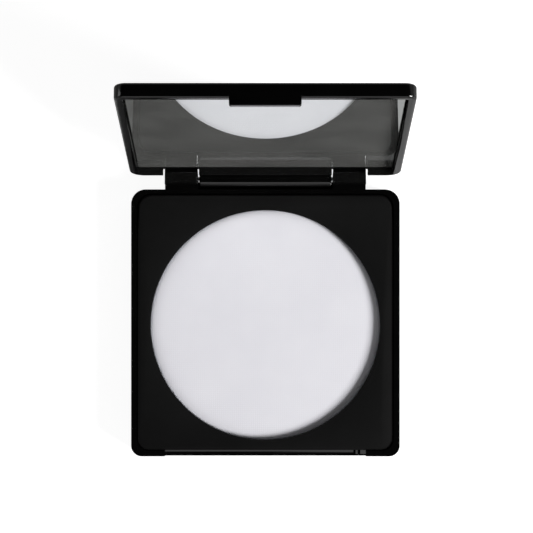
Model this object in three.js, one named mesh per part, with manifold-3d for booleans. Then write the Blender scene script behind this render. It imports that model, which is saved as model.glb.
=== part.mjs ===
// A square hinged powder compact, shown open: a moulded base with a framed pan of
// pressed powder, and a mirrored lid that leans back on its stops.
// Millimetres, +Z up. The origin is the centre of the flat underside, the latch
// edge faces -Y and the hinge is at +Y.
import * as THREE from "three";
import { mergeVertices } from "three/addons/utils/BufferGeometryUtils.js";
import Module from "manifold-3d";

const wasm = await Module();
wasm.setup();
const { degToRad } = THREE.MathUtils;

// ---- Driving dimensions ----------------------------------------------------

// Case outline, shared by base and lid
const CASE_WIDTH = 70.0;
const CASE_DEPTH = 69.6;
const FRONT_CORNER = 2.8;
const REAR_CORNER = 3.8;

// Base shell
const BASE_HEIGHT = 8.8;
const BASE_EDGE = 1.2; // rounding of the bottom edge
const FLOOR = 1.6;
const SIDE_WALL = 1.5;
const FRONT_WALL = 1.5;
const REAR_WALL = 1.1;

// Platform that frames the pan
const PANEL_GAP = 0.2; // to the base walls
const PANEL_DROP = 0.4; // below the base rim
const PANEL_THICKNESS = 1.2;
const PANEL_EDGE = 0.35;
const PANEL_FRONT_CORNER = 2.9;
const PANEL_REAR_CORNER = 3.7;
const SKIRT_THICKNESS = 1.0;
const SKIRT_LAP = 0.3; // how far the skirt reaches below the ledge
const PEG_RADIUS = 1.1;
const PEG_LENGTH = 3.0;
const PEG_CLEARANCE = 0.15;
const PEG_INSET = 4.4; // from the base's outer faces
const BOSS_WALL = 1.0;

// Pan, its powder and what holds it
const PAN_RADIUS = 30.2;
const PAN_OFFSET_Y = -0.55;
const PAN_DROP = 1.4; // of the pan's rim below the panel's face
const PANEL_LIP = 0.25; // how far the panel covers the pan's rim
const PAN_WALL = 0.25;
const PAN_BEND = 0.8;
const POWDER_DROP = 0.1; // below the pan's rim
const POWDER_EDGE = 0.35;
const WELL_CLEARANCE = 0.3;
const WELL_WALL = 0.8;
const ADHESIVE_INSET = 4.7; // from the pan's flat bottom
const ADHESIVE_THICKNESS = 0.2;
const SEAT_GAP = 0.05; // between stuck faces

// Front ledge and latch
const LEDGE_WIDTH = 52.4;
const LEDGE_CLEARANCE = 0.3; // under the tongue's tip when shut
const LEDGE_FALL = 0.65; // from the ledge's back to its lip
const LEDGE_LIP = 0.4; // the level strip along its front
const TONGUE_WIDTH = 16.7;
const TONGUE_LENGTH = 1.9;
const HOOK_REACH = 0.3; // how far the hook and its catch stand out
const HOOK_HEIGHT = 0.45;
const HOOK_CORNER = 0.15;
const CATCH_CLEARANCE = 0.05;
const CATCH_INSET = 1.0; // from the tongue's ends
const NIB_PLACES = [23.3, 24.5];
const NIB_WIDTH = 0.6;
const NIB_DEPTH = 0.9;
const NIB_SETBACK = 0.4; // behind the front face
const NIB_HEIGHT = 0.5;

// Lid shell
const LID_HEIGHT = 3.6;
const LID_EDGE = 0.7; // rounding of both long edges
const LID_RIM = 1.95;
const PARTING_GAP = 0.3;

// Mirror and its tape
const MIRROR_RECESS = 1.85;
const MIRROR_THICKNESS = 0.7;
const MIRROR_CLEARANCE = 0.15;
const TAPE_THICKNESS = 0.15;
const TAPE_WIDTH = 12.0;
const TAPE_LENGTH = 50.0;
const TAPE_PITCH = 36.0;

// Hinge
const HINGE_SETBACK = 2.63; // axis behind the rear face
const HINGE_WIDTH = 52.3;
const BARREL_WIDTH = 34.3;
const BARREL_RADIUS = 1.95;
const BARREL_FROM_DEG = 220; // where its round leaves the web, under and over
const BARREL_TO_DEG = 428;
const WEB_OVERLAP = 0.75; // of the web into the lid's wall
const EAR_GAP = 0.4;
const EAR_FRONT_RADIUS = 1.35;
const EAR_REACH = 2.75;
const EAR_TURN_DEG = 60; // of the round under the pin
const EAR_TIP_HEIGHT = 0.65; // above the pin, where the ear's back stands upright
const STOP_GAP = 0.06;
const NOTCH_CLEARANCE = 0.35;
const CRADLE_REACH = 2.0;
const CRADLE_DEPTH = 1.8;
const PIN_RADIUS = 0.6;
const PIN_LENGTH = 14.0;
const PIN_SEAT = 0.05; // pin to ear
const PIN_RUNNING = 0.08; // pin to barrel
const PIN_INSET = 0.15;
const OPENING_DEG = 102.8;

// Blank label in the underside
const LABEL_WIDTH = 40.0;
const LABEL_DEPTH = 18.0;
const LABEL_CENTRE_Y = -18.0;
const LABEL_CORNER = 2.0;
const LABEL_THICKNESS = 0.12;
const LABEL_RECESS = 0.3;
const LABEL_GAP = 0.2;

const ROUND_STEPS = 72;
const SMALL_STEPS = 24;
const CORNER_STEPS = 8;
const EDGE_STEPS = 4;
const THROUGH = 1.0; // how far a cutter passes a face

// ---- Places worked out from them -------------------------------------------

const FRONT_Y = -CASE_DEPTH / 2;
const REAR_Y = CASE_DEPTH / 2;
const PANEL_TOP = BASE_HEIGHT - PANEL_DROP;
const PANEL_BOTTOM = PANEL_TOP - PANEL_THICKNESS;
const TONGUE_TIP = BASE_HEIGHT + PARTING_GAP - TONGUE_LENGTH;
const LEDGE_Z = TONGUE_TIP - LEDGE_CLEARANCE;
const PAN_BOTTOM = FLOOR + ADHESIVE_THICKNESS + 2 * SEAT_GAP;
const PAN_TOP = PANEL_TOP - PAN_DROP;
const OPENING_RADIUS = PAN_RADIUS - PANEL_LIP;
const ADHESIVE_RADIUS = PAN_RADIUS - PAN_BEND - ADHESIVE_INSET;
const WELL_RADIUS = PAN_RADIUS + WELL_CLEARANCE;
const WELL_TOP = PANEL_BOTTOM - PANEL_GAP;
const HINGE_Y = REAR_Y + HINGE_SETBACK;
const HINGE_Z = BASE_HEIGHT + PARTING_GAP / 2;
const EAR_INNER = BARREL_WIDTH / 2 + EAR_GAP;
const EAR_OUTER = HINGE_WIDTH / 2;
const PIN_OUTER = EAR_OUTER - PIN_INSET;
const PIN_INNER = PIN_OUTER - PIN_LENGTH;
const OPENING = degToRad(OPENING_DEG);
const SKIRT_FRONT = FRONT_Y + FRONT_WALL + PANEL_GAP;
const TONGUE_BACK = SKIRT_FRONT - 2 * HOOK_REACH - CATCH_CLEARANCE;

// ---- Geometry helpers ------------------------------------------------------

const xy = (x, y) => new THREE.Vector2(x, y);

// How far a quarter round's middle lies inside its corner, per unit of radius.
const ROUND_INSET = 1 - Math.SQRT1_2;

// A three.js geometry as a manifold-3d solid.
function solid(geometry) {
  const bare = geometry.clone();
  bare.deleteAttribute("normal");
  bare.deleteAttribute("uv");
  const merged = mergeVertices(bare, 1e-4);
  const mesh = new wasm.Mesh({
    numProp: 3,
    vertProperties: merged.attributes.position.array,
    triVerts: new Uint32Array(merged.index.array),
  });
  return new wasm.Manifold(mesh);
}

// A manifold-3d solid as a three.js geometry.
function geometryOf(body) {
  const mesh = body.getMesh();
  const geometry = new THREE.BufferGeometry();
  geometry.setAttribute(
    "position",
    new THREE.BufferAttribute(mesh.vertProperties, mesh.numProp),
  );
  geometry.setIndex(new THREE.BufferAttribute(mesh.triVerts, 1));
  const flat = geometry.toNonIndexed();
  flat.computeVertexNormals();
  return flat;
}

// A rectangle between two corners, with one radius at its front (low Y) corners
// and one at its rear corners.
function roundedRectangle(x0, x1, y0, y1, front, rear) {
  const shape = new THREE.Shape();
  shape.moveTo(x0 + front, y0);
  shape.lineTo(x1 - front, y0);
  shape.absarc(x1 - front, y0 + front, front, -Math.PI / 2, 0, false);
  shape.lineTo(x1, y1 - rear);
  shape.absarc(x1 - rear, y1 - rear, rear, 0, Math.PI / 2, false);
  shape.lineTo(x0 + rear, y1);
  shape.absarc(x0 + rear, y1 - rear, rear, Math.PI / 2, Math.PI, false);
  shape.lineTo(x0, y0 + front);
  shape.absarc(x0 + front, y0 + front, front, Math.PI, Math.PI * 1.5, false);
  return shape;
}

// A shape drawn in X and Y, extruded from z0 to z1, with an optional rounded edge
// at both ends that stays inside the shape.
function slab(shape, z0, z1, edge = 0) {
  const geometry = new THREE.ExtrudeGeometry(shape, {
    depth: z1 - z0 - 2 * edge,
    curveSegments: CORNER_STEPS,
    bevelEnabled: edge > 0,
    bevelThickness: edge,
    bevelSize: edge,
    bevelOffset: -edge,
    bevelSegments: EDGE_STEPS,
  });
  return geometry.translate(0, 0, z0 + edge);
}

// A shape drawn in Y and Z, extruded along X from x0 to x1.
function bar(shape, x0, x1) {
  const geometry = new THREE.ExtrudeGeometry(shape, {
    depth: x1 - x0,
    curveSegments: SMALL_STEPS,
    bevelEnabled: false,
  });
  const turn = new THREE.Matrix4().makeBasis(
    new THREE.Vector3(0, 1, 0),
    new THREE.Vector3(0, 0, 1),
    new THREE.Vector3(1, 0, 0),
  );
  return geometry.applyMatrix4(turn).translate(x0, 0, 0);
}

function block(x0, x1, y0, y1, z0, z1) {
  return new THREE.BoxGeometry(x1 - x0, y1 - y0, z1 - z0).translate(
    (x0 + x1) / 2,
    (y0 + y1) / 2,
    (z0 + z1) / 2,
  );
}

// A cylinder along X or Z.
function rod(radius, length, steps, alongX = false) {
  const geometry = new THREE.CylinderGeometry(radius, radius, length, steps);
  return alongX ? geometry.rotateZ(Math.PI / 2) : geometry.rotateX(Math.PI / 2);
}

// A closed profile of [radius, height] points, turned about the pan's axis.
function turned(points) {
  const profile = points.map(([r, z]) => xy(r, z));
  const lathe = new THREE.LatheGeometry(profile, ROUND_STEPS);
  return lathe.rotateX(Math.PI / 2).translate(0, PAN_OFFSET_Y, 0);
}

const BOTH = [-1, 1];

// A bar between two distances from the centre plane, on the side given.
function sideBar(shape, side, inner, outer) {
  return side > 0 ? bar(shape, inner, outer) : bar(shape, -outer, -inner);
}

function sidePin(radius, side, inner, outer) {
  return rod(radius, outer - inner, SMALL_STEPS, true).translate(
    (side * (inner + outer)) / 2,
    0,
    0,
  );
}

const addAll = (body, parts) => parts.reduce((sum, p) => sum.add(solid(p)), body);
const cutAll = (body, parts) =>
  parts.reduce((rest, p) => rest.subtract(solid(p)), body);

function piece(name, geometry, look) {
  const mesh = new THREE.Mesh(geometry, new THREE.MeshStandardMaterial(look));
  mesh.name = name;
  return mesh;
}

const GLOSS_BLACK = { color: 0x060606, roughness: 0.12, metalness: 0 };
const SATIN_BLACK = { color: 0x171717, roughness: 0.55, metalness: 0 };

// ---- Base ------------------------------------------------------------------

const caseOutline = () =>
  roundedRectangle(
    -CASE_WIDTH / 2,
    CASE_WIDTH / 2,
    FRONT_Y,
    REAR_Y,
    FRONT_CORNER,
    REAR_CORNER,
  );

// The panel's outline, or the cavity it drops into when grown by the panel gap.
const panelOutline = (grow) =>
  roundedRectangle(
    -CASE_WIDTH / 2 + SIDE_WALL + PANEL_GAP - grow,
    CASE_WIDTH / 2 - SIDE_WALL - PANEL_GAP + grow,
    FRONT_Y + FRONT_WALL + PANEL_GAP - grow,
    REAR_Y - REAR_WALL - PANEL_GAP + grow,
    PANEL_FRONT_CORNER + grow,
    PANEL_REAR_CORNER + grow,
  );

const pegPlaces = () =>
  BOTH.flatMap((sx) =>
    BOTH.map((sy) => [
      sx * (CASE_WIDTH / 2 - PEG_INSET),
      sy * (CASE_DEPTH / 2 - PEG_INSET),
    ]),
  );

// One hinge ear in section, about the hinge axis: a web from the rear wall, a
// rounded front over the pin, and a flat that the open lid's wall lands on.
function earSection() {
  const reach = HINGE_SETBACK - STOP_GAP;
  const tilt = OPENING - Math.PI / 2;
  const stopHeight = (y) => (reach - y * Math.sin(tilt)) / Math.cos(tilt);
  const root = -HINGE_SETBACK - REAR_WALL / 2;
  const shape = new THREE.Shape();
  shape.moveTo(root, -BARREL_RADIUS - CRADLE_DEPTH);
  shape.lineTo(-HINGE_SETBACK + CRADLE_REACH, -BARREL_RADIUS - CRADLE_DEPTH / 2);
  shape.absarc(0, 0, BARREL_RADIUS, -degToRad(EAR_TURN_DEG), 0, false);
  shape.lineTo(EAR_REACH, EAR_TIP_HEIGHT);
  shape.lineTo(EAR_REACH, stopHeight(EAR_REACH));
  shape.lineTo(0, stopHeight(0) - STOP_GAP);
  shape.absarc(
    0,
    stopHeight(0) - STOP_GAP - EAR_FRONT_RADIUS,
    EAR_FRONT_RADIUS,
    Math.PI / 2,
    Math.PI,
    false,
  );
  shape.lineTo(-EAR_FRONT_RADIUS, -PARTING_GAP);
  shape.lineTo(root, -PARTING_GAP);
  shape.closePath();
  return shape;
}

// The rib under the barrel that closes the gap behind the rear wall.
function cradleSection() {
  const top = -BARREL_RADIUS - PARTING_GAP;
  const root = -HINGE_SETBACK - REAR_WALL / 2;
  const shape = new THREE.Shape();
  shape.moveTo(root, top - CRADLE_DEPTH);
  shape.lineTo(-HINGE_SETBACK + CRADLE_REACH, top - CRADLE_DEPTH / 2);
  shape.lineTo(-HINGE_SETBACK + CRADLE_REACH, top);
  shape.lineTo(root, top);
  shape.closePath();
  return shape;
}

const atHinge = (geometry) => geometry.translate(0, HINGE_Y, HINGE_Z);

function baseShell() {
  const tall = slab(caseOutline(), 0, BASE_HEIGHT + 2 * BASE_EDGE, BASE_EDGE);
  const above = block(
    -CASE_WIDTH,
    CASE_WIDTH,
    -CASE_DEPTH,
    CASE_DEPTH,
    BASE_HEIGHT,
    BASE_HEIGHT + CASE_DEPTH,
  );
  const cavity = slab(panelOutline(PANEL_GAP), FLOOR, BASE_HEIGHT + THROUGH);
  let body = cutAll(solid(tall), [above, cavity]);
  body = addAll(body, [wellRing(), ...pegBosses()]);
  body = addAll(body, hingeLands());
  body = cutAll(body, [...pegSockets(), ...pinSeats(), frontCut(), labelRecess()]);
  return addAll(body, ledgeNibs());
}

const wellRing = () =>
  turned([
    [WELL_RADIUS, FLOOR / 2],
    [WELL_RADIUS + WELL_WALL, FLOOR / 2],
    [WELL_RADIUS + WELL_WALL, WELL_TOP],
    [WELL_RADIUS, WELL_TOP],
    [WELL_RADIUS, FLOOR / 2],
  ]);

const pegBosses = () =>
  pegPlaces().map(([x, y]) => {
    const height = WELL_TOP - FLOOR / 2;
    const radius = PEG_RADIUS + PEG_CLEARANCE + BOSS_WALL;
    return rod(radius, height, SMALL_STEPS).translate(x, y, FLOOR / 2 + height / 2);
  });

const pegSockets = () =>
  pegPlaces().map(([x, y]) => {
    const bottom = PANEL_BOTTOM - PEG_LENGTH - PANEL_GAP;
    const height = WELL_TOP + THROUGH - bottom;
    const radius = PEG_RADIUS + PEG_CLEARANCE;
    return rod(radius, height, SMALL_STEPS).translate(x, y, bottom + height / 2);
  });

const hingeLands = () => [
  atHinge(bar(cradleSection(), -EAR_OUTER, EAR_OUTER)),
  ...BOTH.map((side) =>
    atHinge(sideBar(earSection(), side, EAR_INNER, EAR_OUTER)),
  ),
];

const pinSeats = () =>
  BOTH.map((side) =>
    atHinge(
      sidePin(PIN_RADIUS + PIN_SEAT, side, EAR_INNER - THROUGH, EAR_OUTER + THROUGH),
    ),
  );

// The front wall is cut down to a sloping ledge that clears the latch tongue and a nail.
function frontCut() {
  const back = FRONT_Y + FRONT_WALL + PANEL_GAP / 2;
  const outline = new THREE.Shape([
    xy(FRONT_Y - THROUGH, LEDGE_Z - LEDGE_FALL),
    xy(FRONT_Y + LEDGE_LIP, LEDGE_Z - LEDGE_FALL),
    xy(back, LEDGE_Z),
    xy(back, BASE_HEIGHT + THROUGH),
    xy(FRONT_Y - THROUGH, BASE_HEIGHT + THROUGH),
  ]);
  return bar(outline, -LEDGE_WIDTH / 2, LEDGE_WIDTH / 2);
}

const ledgeNibs = () =>
  NIB_PLACES.map((x) =>
    block(
      x - NIB_WIDTH / 2,
      x + NIB_WIDTH / 2,
      FRONT_Y + NIB_SETBACK,
      FRONT_Y + NIB_SETBACK + NIB_DEPTH,
      LEDGE_Z - LEDGE_FALL - NIB_HEIGHT / 2,
      LEDGE_Z - LEDGE_FALL / 2 + NIB_HEIGHT,
    ),
  );

const labelOutline = (grow) =>
  roundedRectangle(
    -LABEL_WIDTH / 2 - grow,
    LABEL_WIDTH / 2 + grow,
    LABEL_CENTRE_Y - LABEL_DEPTH / 2 - grow,
    LABEL_CENTRE_Y + LABEL_DEPTH / 2 + grow,
    LABEL_CORNER + grow,
    LABEL_CORNER + grow,
  );

const labelRecess = () => slab(labelOutline(LABEL_GAP), -THROUGH, LABEL_RECESS);

function baseLabel() {
  const top = LABEL_RECESS - SEAT_GAP;
  return slab(labelOutline(0), top - LABEL_THICKNESS, top);
}

// The panel lies on the well ring, with a peg in each corner and a skirt that
// closes the front above the ledge and carries the latch's catch.
function basePanel() {
  const plate = slab(
    panelOutline(0),
    PANEL_BOTTOM - PANEL_EDGE,
    PANEL_TOP,
    PANEL_EDGE,
  );
  const under = block(
    -CASE_WIDTH,
    CASE_WIDTH,
    -CASE_DEPTH,
    CASE_DEPTH,
    0,
    PANEL_BOTTOM,
  );
  const pegs = pegPlaces().map(([x, y]) =>
    rod(PEG_RADIUS, PEG_LENGTH + PANEL_THICKNESS / 2, SMALL_STEPS).translate(
      x,
      y,
      PANEL_BOTTOM + PANEL_THICKNESS / 4 - PEG_LENGTH / 2,
    ),
  );
  const skirtHalf = LEDGE_WIDTH / 2;
  const skirt = block(
    -skirtHalf,
    skirtHalf,
    SKIRT_FRONT,
    SKIRT_FRONT + SKIRT_THICKNESS,
    LEDGE_Z - SKIRT_LAP,
    PANEL_TOP - PANEL_EDGE,
  );
  const catchHalf = TONGUE_WIDTH / 2 - CATCH_INSET;
  const catchLow = TONGUE_TIP + HOOK_HEIGHT + CATCH_CLEARANCE;
  const catchHigh = PANEL_TOP - PANEL_EDGE;
  const latchCatch = new THREE.Shape([
    xy(SKIRT_FRONT + SKIRT_THICKNESS / 2, catchLow),
    xy(SKIRT_FRONT + SKIRT_THICKNESS / 2, catchHigh),
    xy(SKIRT_FRONT, catchHigh),
    xy(SKIRT_FRONT - HOOK_REACH, (catchLow + catchHigh) / 2),
    xy(SKIRT_FRONT, catchLow),
  ]);
  const hole = rod(OPENING_RADIUS, 2 * BASE_HEIGHT, ROUND_STEPS).translate(
    0,
    PAN_OFFSET_Y,
    BASE_HEIGHT,
  );
  const body = cutAll(solid(plate), [under]);
  const dressed = addAll(body, [
    ...pegs,
    skirt,
    bar(latchCatch, -catchHalf, catchHalf),
  ]);
  return dressed.subtract(solid(hole));
}

const panAdhesive = () =>
  rod(ADHESIVE_RADIUS, ADHESIVE_THICKNESS, ROUND_STEPS).translate(
    0,
    PAN_OFFSET_Y,
    FLOOR + SEAT_GAP + ADHESIVE_THICKNESS / 2,
  );

const powderPan = () =>
  turned([
    [0, PAN_BOTTOM],
    [PAN_RADIUS - PAN_BEND, PAN_BOTTOM],
    [PAN_RADIUS - PAN_BEND * ROUND_INSET, PAN_BOTTOM + PAN_BEND * ROUND_INSET],
    [PAN_RADIUS, PAN_BOTTOM + PAN_BEND],
    [PAN_RADIUS, PAN_TOP],
    [PAN_RADIUS - PAN_WALL, PAN_TOP],
    [PAN_RADIUS - PAN_WALL, PAN_BOTTOM + PAN_BEND],
    [PAN_RADIUS - PAN_BEND, PAN_BOTTOM + PAN_WALL],
    [0, PAN_BOTTOM + PAN_WALL],
  ]);

function powderCake() {
  const side = PAN_RADIUS - PAN_WALL - SEAT_GAP;
  const top = PAN_TOP - POWDER_DROP;
  const low = PAN_BOTTOM + PAN_WALL + SEAT_GAP;
  return turned([
    [0, low],
    [PAN_RADIUS - PAN_BEND - SEAT_GAP, low],
    [side, PAN_BOTTOM + PAN_BEND + SEAT_GAP],
    [side, top - POWDER_EDGE],
    [side - POWDER_EDGE * ROUND_INSET, top - POWDER_EDGE * ROUND_INSET],
    [side - POWDER_EDGE, top],
    [0, top],
  ]);
}

const hingePin = (side) => atHinge(sidePin(PIN_RADIUS, side, PIN_INNER, PIN_OUTER));

// ---- Lid, drawn closed about the hinge axis --------------------------------

const LID_BOTTOM = PARTING_GAP / 2;
const LID_TOP = LID_BOTTOM + LID_HEIGHT;
const MIRROR_FACE = LID_BOTTOM + MIRROR_RECESS;
const MIRROR_BACK = MIRROR_FACE + MIRROR_THICKNESS;
const LID_POCKET = MIRROR_BACK + TAPE_THICKNESS + 2 * SEAT_GAP;

// The barrel and the web that joins it to the lid's rear wall.
function barrelSection() {
  const root = -HINGE_SETBACK - WEB_OVERLAP;
  const shape = new THREE.Shape();
  shape.moveTo(root, LID_BOTTOM + LID_EDGE / 2);
  shape.lineTo(-HINGE_SETBACK, LID_BOTTOM);
  shape.absarc(
    0,
    0,
    BARREL_RADIUS,
    degToRad(BARREL_FROM_DEG),
    degToRad(BARREL_TO_DEG),
    false,
  );
  shape.lineTo(-HINGE_SETBACK, LID_TOP - LID_EDGE / 2);
  shape.lineTo(root, LID_TOP - LID_EDGE / 2);
  shape.closePath();
  return shape;
}

// The flat latch tongue, flush with the lid's front face, with its hook inside.
function tongueSection() {
  const tip = TONGUE_TIP - HINGE_Z;
  const front = FRONT_Y - HINGE_Y;
  const back = TONGUE_BACK - HINGE_Y;
  return new THREE.Shape([
    xy(front, tip + HOOK_CORNER),
    xy(front + HOOK_CORNER, tip),
    xy(back, tip),
    xy(back + HOOK_REACH, tip + HOOK_CORNER),
    xy(back + HOOK_REACH, tip + HOOK_HEIGHT - HOOK_CORNER),
    xy(back, tip + HOOK_HEIGHT),
    xy(back, LID_BOTTOM + LID_EDGE),
    xy(front, LID_BOTTOM + LID_EDGE),
  ]);
}

function lidShell() {
  const outer = slab(caseOutline(), LID_BOTTOM, LID_TOP, LID_EDGE);
  const pocket = block(
    -CASE_WIDTH / 2 + LID_RIM,
    CASE_WIDTH / 2 - LID_RIM,
    FRONT_Y + LID_RIM,
    REAR_Y - LID_RIM,
    LID_BOTTOM - THROUGH,
    LID_POCKET,
  );
  const notches = BOTH.map((side) => {
    const middle = (side * (EAR_INNER + EAR_OUTER)) / 2;
    const half = (EAR_OUTER - EAR_INNER) / 2 + NOTCH_CLEARANCE;
    return block(
      middle - half,
      middle + half,
      REAR_Y - LID_RIM - THROUGH,
      REAR_Y + THROUGH,
      LID_BOTTOM - THROUGH,
      MIRROR_FACE,
    ).translate(0, -HINGE_Y, 0);
  });
  const barrel = bar(barrelSection(), -BARREL_WIDTH / 2, BARREL_WIDTH / 2);
  const tongue = bar(tongueSection(), -TONGUE_WIDTH / 2, TONGUE_WIDTH / 2);
  const bores = BOTH.map((side) =>
    sidePin(PIN_RADIUS + PIN_RUNNING, side, PIN_INNER - PARTING_GAP, EAR_INNER),
  );
  const plate = cutAll(solid(outer.translate(0, -HINGE_Y, 0)), [
    pocket.translate(0, -HINGE_Y, 0),
    ...notches,
  ]);
  return cutAll(addAll(plate, [barrel, tongue]), bores);
}

function mirrorPlate() {
  const inset = LID_RIM + MIRROR_CLEARANCE;
  return block(
    -CASE_WIDTH / 2 + inset,
    CASE_WIDTH / 2 - inset,
    FRONT_Y + inset - HINGE_Y,
    REAR_Y - inset - HINGE_Y,
    MIRROR_FACE,
    MIRROR_BACK,
  );
}

function mirrorTape(side) {
  const middle = (side * TAPE_PITCH) / 2;
  const bottom = MIRROR_BACK + SEAT_GAP;
  return block(
    middle - TAPE_WIDTH / 2,
    middle + TAPE_WIDTH / 2,
    -TAPE_LENGTH / 2 - HINGE_Y,
    TAPE_LENGTH / 2 - HINGE_Y,
    bottom,
    bottom + TAPE_THICKNESS,
  );
}

// ---- Scene graph -----------------------------------------------------------

const STEEL = { color: 0xb4b6b8, roughness: 0.3, metalness: 1 };
const TINPLATE = { color: 0xa9abad, roughness: 0.35, metalness: 1 };
const POWDER = { color: 0xdfdee3, roughness: 1, metalness: 0 };
const MIRROR = { color: 0xe6e8ea, roughness: 0.02, metalness: 1 };
const TAPE = { color: 0xe9e5d8, roughness: 0.8, metalness: 0 };
const PAPER = { color: 0x1d1d1f, roughness: 0.6, metalness: 0 };

const compact = new THREE.Group();
const lid = new THREE.Group();
lid.position.set(0, HINGE_Y, HINGE_Z);
lid.rotation.x = -OPENING;

compact.add(
  piece("base_shell", geometryOf(baseShell()), GLOSS_BLACK),
  piece("base_panel", geometryOf(basePanel()), SATIN_BLACK),
  piece("pan_adhesive", panAdhesive(), TAPE),
  piece("powder_pan", powderPan(), TINPLATE),
  piece("powder_cake", powderCake(), POWDER),
  piece("hinge_pin_left", hingePin(-1), STEEL),
  piece("hinge_pin_right", hingePin(1), STEEL),
  piece("base_label", baseLabel(), PAPER),
  lid,
);
lid.add(
  piece("lid_shell", geometryOf(lidShell()), GLOSS_BLACK),
  piece("mirror", mirrorPlate(), MIRROR),
  piece("mirror_tape_left", mirrorTape(-1), TAPE),
  piece("mirror_tape_right", mirrorTape(1), TAPE),
);

export default compact;
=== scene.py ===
"""Visual model of a square hinged powder compact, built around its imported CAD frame.

Every piece is modelled in millimetres, then brought to metres and to its place when it
is finished. The base sits on the floor with the latch edge at -Y and the hinge at +Y.
"""

from __future__ import annotations

import logging
import math
from contextlib import contextmanager
from dataclasses import dataclass, field
from enum import Enum
from typing import Any, Callable, Iterator, Mapping, Sequence

import bmesh
import bpy
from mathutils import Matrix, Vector

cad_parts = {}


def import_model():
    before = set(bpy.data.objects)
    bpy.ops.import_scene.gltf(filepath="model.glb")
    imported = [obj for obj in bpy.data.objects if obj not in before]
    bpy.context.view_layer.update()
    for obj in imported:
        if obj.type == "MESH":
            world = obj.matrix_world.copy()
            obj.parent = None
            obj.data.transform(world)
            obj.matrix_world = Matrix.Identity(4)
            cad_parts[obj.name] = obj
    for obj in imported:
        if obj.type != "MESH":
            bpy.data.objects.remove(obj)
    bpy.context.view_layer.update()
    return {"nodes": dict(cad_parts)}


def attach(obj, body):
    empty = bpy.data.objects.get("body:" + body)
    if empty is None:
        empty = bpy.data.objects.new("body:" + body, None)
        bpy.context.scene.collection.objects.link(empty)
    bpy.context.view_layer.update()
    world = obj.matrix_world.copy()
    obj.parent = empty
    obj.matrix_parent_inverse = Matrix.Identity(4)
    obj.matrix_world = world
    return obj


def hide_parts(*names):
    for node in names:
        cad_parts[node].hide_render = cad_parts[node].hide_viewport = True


LOG = logging.getLogger("powder_compact")

MM = 0.001  # one millimetre in metres
NEAR = 0.02  # how close, in mm, counts as being on a plane
SMOOTH_DEG = 26.0  # edges flatter than this shade as one surface

Point = tuple[float, float, float]


class Body(Enum):
    """The two bodies that the hinge joins."""

    BASE = "base"
    LID = "lid"


class Slot(Enum):
    """The record's material slots."""

    GLOSS = "gloss_shell"
    PANEL = "satin_panel"
    POWDER = "pressed_powder"
    TINPLATE = "tinplate"
    STEEL = "pin_steel"
    MIRROR = "silvered_glass"
    TAPE = "tape"
    LABEL = "label"


class Axis(Enum):
    """The way a round bar lies."""

    X = (0.0, math.pi / 2, 0.0)
    Z = (0.0, 0.0, 0.0)


# ---- Colour and node helpers ---------------------------------------------------------


def linear(code: str) -> tuple[float, float, float, float]:
    """Turn an sRGB hex colour to linear light.

    Args:
        code: the colour as "#rrggbb".

    Returns:
        Red, green, blue and a full alpha.
    """
    parts = [int(code[i : i + 2], 16) / 255 for i in (1, 3, 5)]
    low = [c / 12.92 if c <= 0.04045 else ((c + 0.055) / 1.055) ** 2.4 for c in parts]
    return (low[0], low[1], low[2], 1.0)


def add_node(
    tree: bpy.types.NodeTree,
    kind: str,
    settings: Mapping[str, Any] | None = None,
    inputs: Mapping[str | int, Any] | None = None,
) -> bpy.types.Node:
    """Add one node with its settings, its socket values and its incoming links.

    Args:
        tree: the node tree to add to.
        kind: the node's type name.
        settings: attributes of the node.
        inputs: socket name or number to a value, or to an output socket to link from.

    Returns:
        The new node.
    """
    node = tree.nodes.new(kind)
    for name, value in (settings or {}).items():
        setattr(node, name, value)
    for name, value in (inputs or {}).items():
        if isinstance(value, bpy.types.NodeSocket):
            tree.links.new(value, node.inputs[name])
        else:
            node.inputs[name].default_value = value
    return node


def new_material(name: str) -> tuple[bpy.types.Material, bpy.types.NodeTree]:
    """Make an empty node material.

    Args:
        name: the material's name.

    Returns:
        The material and its cleared node tree.
    """
    material = bpy.data.materials.new(name)
    material.use_nodes = True
    tree = material.node_tree
    tree.nodes.clear()
    return material, tree


def object_points(tree: bpy.types.NodeTree) -> bpy.types.NodeSocket:
    """Return the Object coordinates of the surface, in metres."""
    return add_node(tree, "ShaderNodeTexCoord").outputs["Object"]


def speckle(
    tree: bpy.types.NodeTree,
    size_mm: float,
    detail: float = 3.0,
    where: bpy.types.NodeSocket | None = None,
) -> bpy.types.NodeSocket:
    """Noise whose blotches are about a given size across.

    Args:
        tree: the node tree.
        size_mm: the size of one blotch.
        detail: octaves of finer noise.
        where: coordinates to use in place of the plain Object ones.

    Returns:
        The noise value, 0 to 1.
    """
    noise = add_node(
        tree,
        "ShaderNodeTexNoise",
        {"noise_dimensions": "3D"},
        {
            "Vector": where or object_points(tree),
            "Scale": 1 / (size_mm * MM),
            "Detail": detail,
            "Roughness": 0.55,
        },
    )
    return noise.outputs["Fac"]


def between(
    tree: bpy.types.NodeTree,
    value: bpy.types.NodeSocket,
    low: float,
    high: float,
    from_low: float = 0.3,
    from_high: float = 0.7,
) -> bpy.types.NodeSocket:
    """Map a value's useful range onto another range.

    Args:
        tree: the node tree.
        value: the value to map.
        low: result at from_low.
        high: result at from_high.
        from_low: the lower end of the useful range.
        from_high: its upper end.

    Returns:
        The mapped value.
    """
    node = add_node(
        tree,
        "ShaderNodeMapRange",
        {"clamp": True},
        {
            "Value": value,
            "From Min": from_low,
            "From Max": from_high,
            "To Min": low,
            "To Max": high,
        },
    )
    return node.outputs["Result"]


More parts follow.
